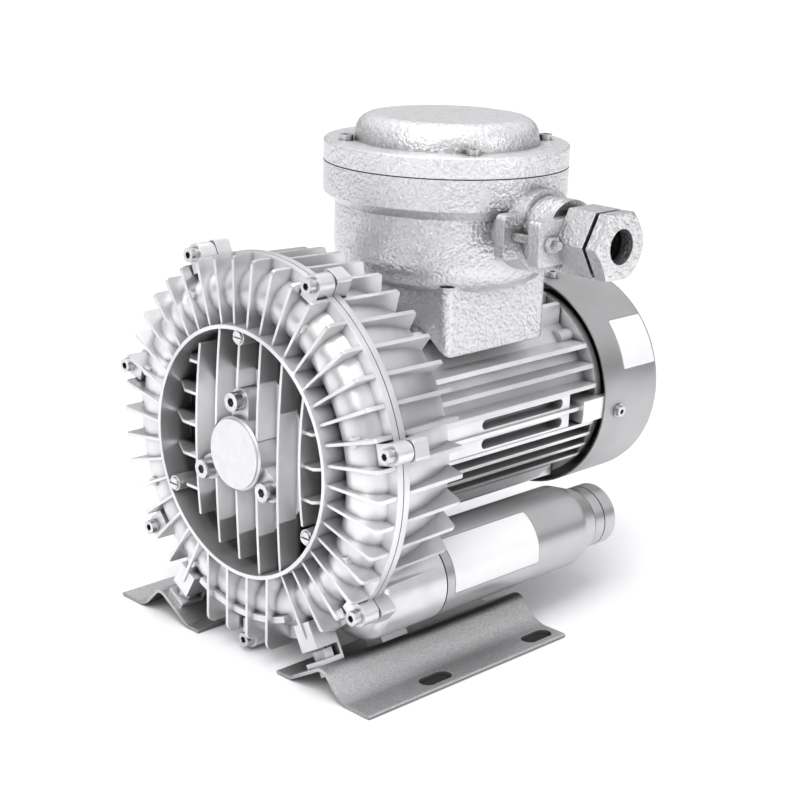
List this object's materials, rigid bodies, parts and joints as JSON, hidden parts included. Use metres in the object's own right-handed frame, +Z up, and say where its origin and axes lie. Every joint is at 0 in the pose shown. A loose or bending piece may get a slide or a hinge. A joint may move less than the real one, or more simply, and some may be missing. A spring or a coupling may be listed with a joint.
{
  "type": "side channel blower",
  "caption": "Side channel blower with a round finned aluminium casing, flanged fan-cooled motor, round terminal box, pipe silencers and bent sheet feet.",
  "frame": {"origin": "centre of the four foot slots, on the floor under the feet", "axes": "+X along the shaft from the finned front cover to the fan cowl, +Z up, the cable gland on the -Y side"},
  "size_m": [0.3625, 0.3042, 0.358],
  "materials": {
    "cast_front": "die cast and bead blasted",
    "cast_rear": "die cast and bead blasted",
    "cast_cap": "die cast and bead blasted",
    "cast_motor": "die cast",
    "cast_impeller": "die cast",
    "gasket": "matt",
    "bright_steel": "zinc plated",
    "blank_plate": "smooth white",
    "bearing_steel": "ground",
    "black_rubber": "matt",
    "lamination": "oiled sheet stack",
    "winding": "varnished copper wire",
    "painted_cowl": "satin silver paint",
    "hammered_paint": "hammered silver paint",
    "board_plastic": "moulded",
    "terminal_brass": "turned",
    "silencer_paint": "satin silver paint",
    "foam_lining": "open foam",
    "galvanised_sheet": "galvanised",
    "shaft_steel": "turned",
    "fan_plastic": "moulded"
  },
  "bodies": {
    "blower": {"front_cover": "cast_front", "rear_casing": "cast_rear", "seam_gasket": "gasket", "seam_screws": "bright_steel", "bearing_cap": "cast_cap", "cap_plate": "blank_plate", "cap_screws": "bright_steel", "rim_screws": "bright_steel", "front_bearing_outer": "bearing_steel", "rear_bearing_outer": "bearing_steel", "shaft_seal": "black_rubber", "motor_housing": "cast_motor", "motor_screws": "bright_steel", "stator_core": "lamination", "stator_windings": "winding", "rear_shield": "cast_motor", "shield_screws": "bright_steel", "fan_cowl": "painted_cowl", "cowl_screws": "bright_steel", "terminal_box": "hammered_paint", "terminal_lid": "hammered_paint", "lid_screws": "bright_steel", "box_screws": "bright_steel", "terminal_board": "board_plastic", "terminal_studs": "terminal_brass", "gland_body": "hammered_paint", "gland_seal": "black_rubber", "gland_nut": "hammered_paint", "gland_studs": "bright_steel", "gland_stud_nuts": "bright_steel", "foot_bolts": "bright_steel", "foot_nuts": "bright_steel", "right_silencer": "silencer_paint", "right_silencer_seal": "black_rubber", "right_silencer_lining": "foam_lining", "right_connector": "silencer_paint", "right_foot": "galvanised_sheet", "left_silencer": "silencer_paint", "left_silencer_seal": "black_rubber", "left_silencer_lining": "foam_lining", "left_connector": "silencer_paint", "left_foot": "galvanised_sheet"},
    "rotor": {"shaft": "shaft_steel", "impeller": "cast_impeller", "impeller_key": "shaft_steel", "spacer_sleeve": "shaft_steel", "shaft_end_washer": "shaft_steel", "shaft_end_screw": "bright_steel", "rotor_core": "lamination", "front_bearing_inner": "bearing_steel", "rear_bearing_inner": "bearing_steel", "cooling_fan": "fan_plastic", "fan_clip": "shaft_steel"}
  },
  "joints": [
    {"name": "rotor_spin", "type": "hinge", "parent": "blower", "child": "rotor", "pos_m": [0, 0, 0.1455], "axis": [1, 0, 0], "continuous": true}
  ]
}
